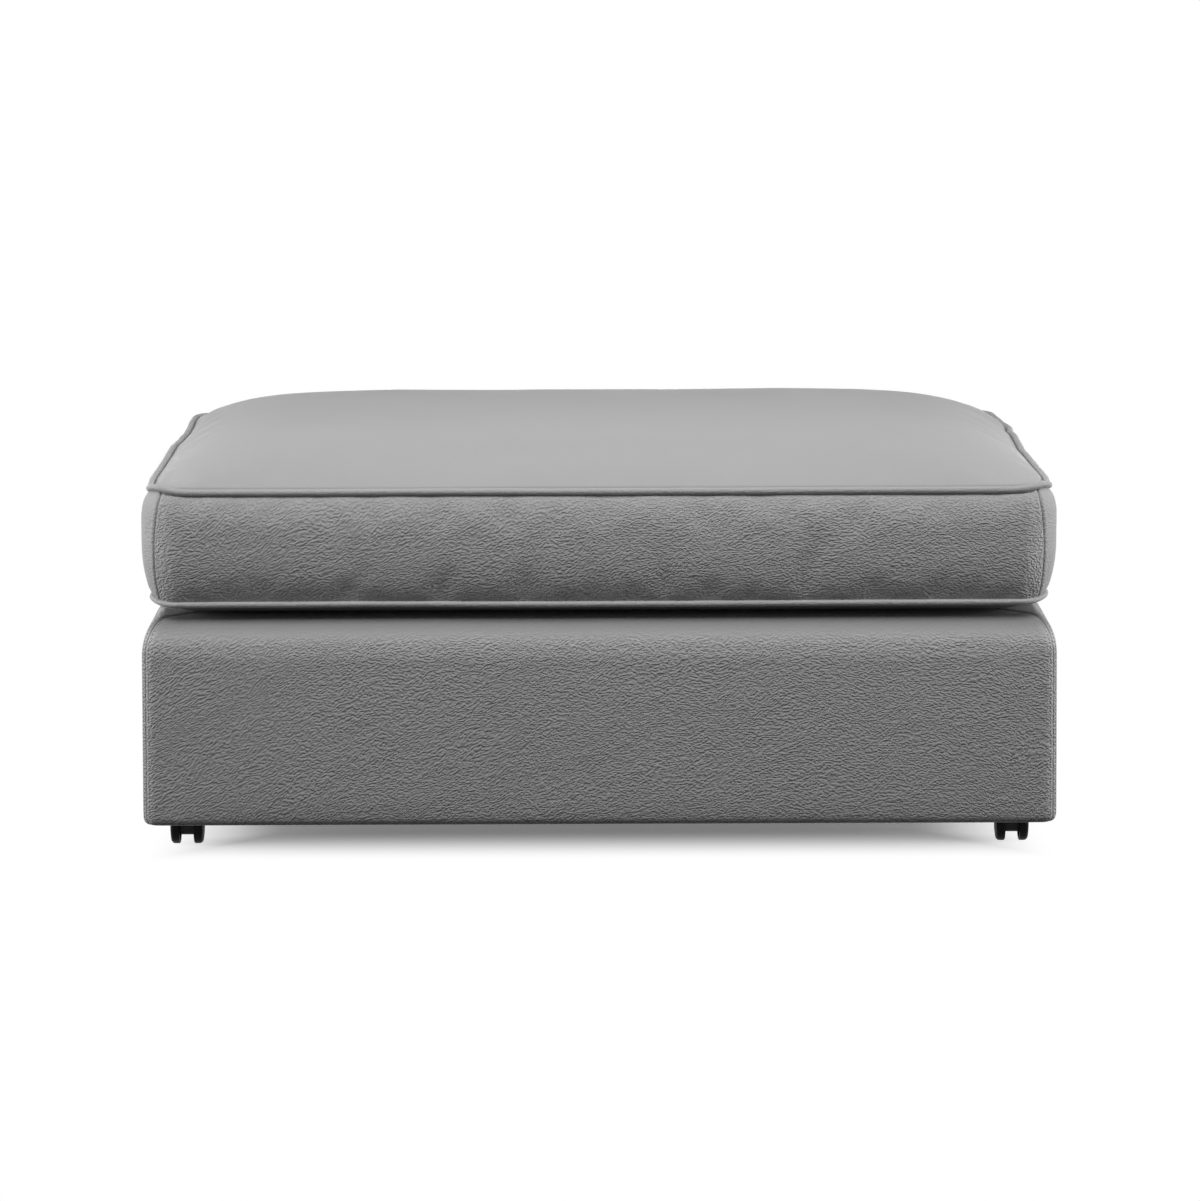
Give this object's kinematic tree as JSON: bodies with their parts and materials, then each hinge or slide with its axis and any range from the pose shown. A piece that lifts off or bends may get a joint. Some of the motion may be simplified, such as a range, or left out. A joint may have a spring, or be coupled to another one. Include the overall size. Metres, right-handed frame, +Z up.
{
  "type": "ottoman coffee table",
  "caption": "Rectangular leather cocktail ottoman: loose welted box cushion with a crowned top on a padded, leather-covered base that rolls on twin-wheel casters.",
  "frame": {"origin": "on the floor, under the middle of the object", "axes": "+X to the right along the long side, -Y to the front, +Z up"},
  "size_m": [1.016, 0.711, 0.472],
  "materials": {
    "plywood": "bare birch plywood",
    "hardwood": "planed hardwood",
    "screw_steel": "zinc plated",
    "spring_steel": "oiled spring steel",
    "felt": "needled felt",
    "foam": "polyurethane foam",
    "decking_cloth": "woven decking cloth",
    "dust_cloth": "black non-woven dust cloth",
    "base_leather": "pebbled grey leather, semi-matt",
    "cushion_leather": "pebbled grey leather, semi-matt",
    "welt_leather": "grey leather over cord",
    "fibre": "bonded polyester fibre",
    "zip_cloth": "zip tape with nylon coil",
    "zip_metal": "dark nickel",
    "caster_plate_steel": "zinc plated steel",
    "caster_black": "moulded black nylon",
    "axle_steel": "bright steel",
    "wheel_black": "moulded black nylon"
  },
  "bodies": {
    "base": {"front_board": "plywood", "back_board": "plywood", "left_board": "plywood", "right_board": "plywood", "corner_post_front_left": "hardwood", "corner_post_front_right": "hardwood", "corner_post_back_left": "hardwood", "corner_post_back_right": "hardwood", "caster_rail_left": "hardwood", "caster_rail_right": "hardwood", "spring_rail_front": "hardwood", "spring_rail_back": "hardwood", "centre_stretcher": "hardwood", "frame_screws": "screw_steel", "caster_screws": "screw_steel", "deck_springs": "spring_steel", "spring_clips": "spring_steel", "deck_insulator": "felt", "deck_foam": "foam", "side_padding_front": "foam", "side_padding_back": "foam", "side_padding_left": "foam", "side_padding_right": "foam", "deck_cover": "decking_cloth", "dust_cover": "dust_cloth", "base_cover_front": "base_leather", "base_cover_back": "base_leather", "base_cover_left": "base_leather", "base_cover_right": "base_leather", "caster_plates": "caster_plate_steel", "caster_kingpins": "caster_plate_steel"},
    "cushion": {"cushion_core": "foam", "cushion_fibre_wrap": "fibre", "cushion_top": "cushion_leather", "cushion_bottom": "cushion_leather", "top_welt": "welt_leather", "bottom_welt": "welt_leather", "zip_tape": "zip_cloth", "boxing_front": "cushion_leather", "boxing_back": "cushion_leather", "boxing_left": "cushion_leather", "boxing_right": "cushion_leather"},
    "zip_slider": {"zip_slider": "zip_metal"},
    "zip_pull": {"zip_pull": "zip_metal"},
    "caster_front_left": {"caster_housing_front_left": "caster_black", "caster_axle_front_left": "axle_steel"},
    "wheel_front_left_left": {"caster_wheel_front_left_left": "wheel_black"},
    "wheel_front_left_right": {"caster_wheel_front_left_right": "wheel_black"},
    "caster_front_right": {"caster_housing_front_right": "caster_black", "caster_axle_front_right": "axle_steel"},
    "wheel_front_right_left": {"caster_wheel_front_right_left": "wheel_black"},
    "wheel_front_right_right": {"caster_wheel_front_right_right": "wheel_black"},
    "caster_back_left": {"caster_housing_back_left": "caster_black", "caster_axle_back_left": "axle_steel"},
    "wheel_back_left_left": {"caster_wheel_back_left_left": "wheel_black"},
    "wheel_back_left_right": {"caster_wheel_back_left_right": "wheel_black"},
    "caster_back_right": {"caster_housing_back_right": "caster_black", "caster_axle_back_right": "axle_steel"},
    "wheel_back_right_left": {"caster_wheel_back_right_left": "wheel_black"},
    "wheel_back_right_right": {"caster_wheel_back_right_right": "wheel_black"}
  },
  "joints": [
    {"name": "cushion_lift", "type": "slide", "parent": "base", "child": "cushion", "axis": [0, 0, 1], "range_m": [0, 0.25]},
    {"name": "zip_travel", "type": "slide", "parent": "cushion", "child": "zip_slider", "axis": [-1, 0, 0], "range_m": [0, 0.766]},
    {"name": "zip_pull_swing", "type": "hinge", "parent": "zip_slider", "child": "zip_pull", "pos_m": [0.383, 0.3537, 0.3595], "axis": [1, 0, 0], "range_deg": [0, 150]},
    {"name": "swivel_front_left", "type": "hinge", "parent": "base", "child": "caster_front_left", "pos_m": [-0.47, -0.2405, 0.04], "axis": [0, 0, 1], "continuous": true},
    {"name": "roll_front_left_left", "type": "hinge", "parent": "caster_front_left", "child": "wheel_front_left_left", "pos_m": [-0.4837, -0.2245, 0.02], "axis": [1, 0, 0], "continuous": true},
    {"name": "roll_front_left_right", "type": "hinge", "parent": "caster_front_left", "child": "wheel_front_left_right", "pos_m": [-0.4563, -0.2245, 0.02], "axis": [1, 0, 0], "continuous": true},
    {"name": "swivel_front_right", "type": "hinge", "parent": "base", "child": "caster_front_right", "pos_m": [0.47, -0.2405, 0.04], "axis": [0, 0, 1], "continuous": true},
    {"name": "roll_front_right_left", "type": "hinge", "parent": "caster_front_right", "child": "wheel_front_right_left", "pos_m": [0.4563, -0.2245, 0.02], "axis": [1, 0, 0], "continuous": true},
    {"name": "roll_front_right_right", "type": "hinge", "parent": "caster_front_right", "child": "wheel_front_right_right", "pos_m": [0.4837, -0.2245, 0.02], "axis": [1, 0, 0], "continuous": true},
    {"name": "swivel_back_left", "type": "hinge", "parent": "base", "child": "caster_back_left", "pos_m": [-0.47, 0.2405, 0.04], "axis": [0, 0, 1], "continuous": true},
    {"name": "roll_back_left_left", "type": "hinge", "parent": "caster_back_left", "child": "wheel_back_left_left", "pos_m": [-0.4837, 0.2565, 0.02], "axis": [1, 0, 0], "continuous": true},
    {"name": "roll_back_left_right", "type": "hinge", "parent": "caster_back_left", "child": "wheel_back_left_right", "pos_m": [-0.4563, 0.2565, 0.02], "axis": [1, 0, 0], "continuous": true},
    {"name": "swivel_back_right", "type": "hinge", "parent": "base", "child": "caster_back_right", "pos_m": [0.47, 0.2405, 0.04], "axis": [0, 0, 1], "continuous": true},
    {"name": "roll_back_right_left", "type": "hinge", "parent": "caster_back_right", "child": "wheel_back_right_left", "pos_m": [0.4563, 0.2565, 0.02], "axis": [1, 0, 0], "continuous": true},
    {"name": "roll_back_right_right", "type": "hinge", "parent": "caster_back_right", "child": "wheel_back_right_right", "pos_m": [0.4837, 0.2565, 0.02], "axis": [1, 0, 0], "continuous": true}
  ]
}
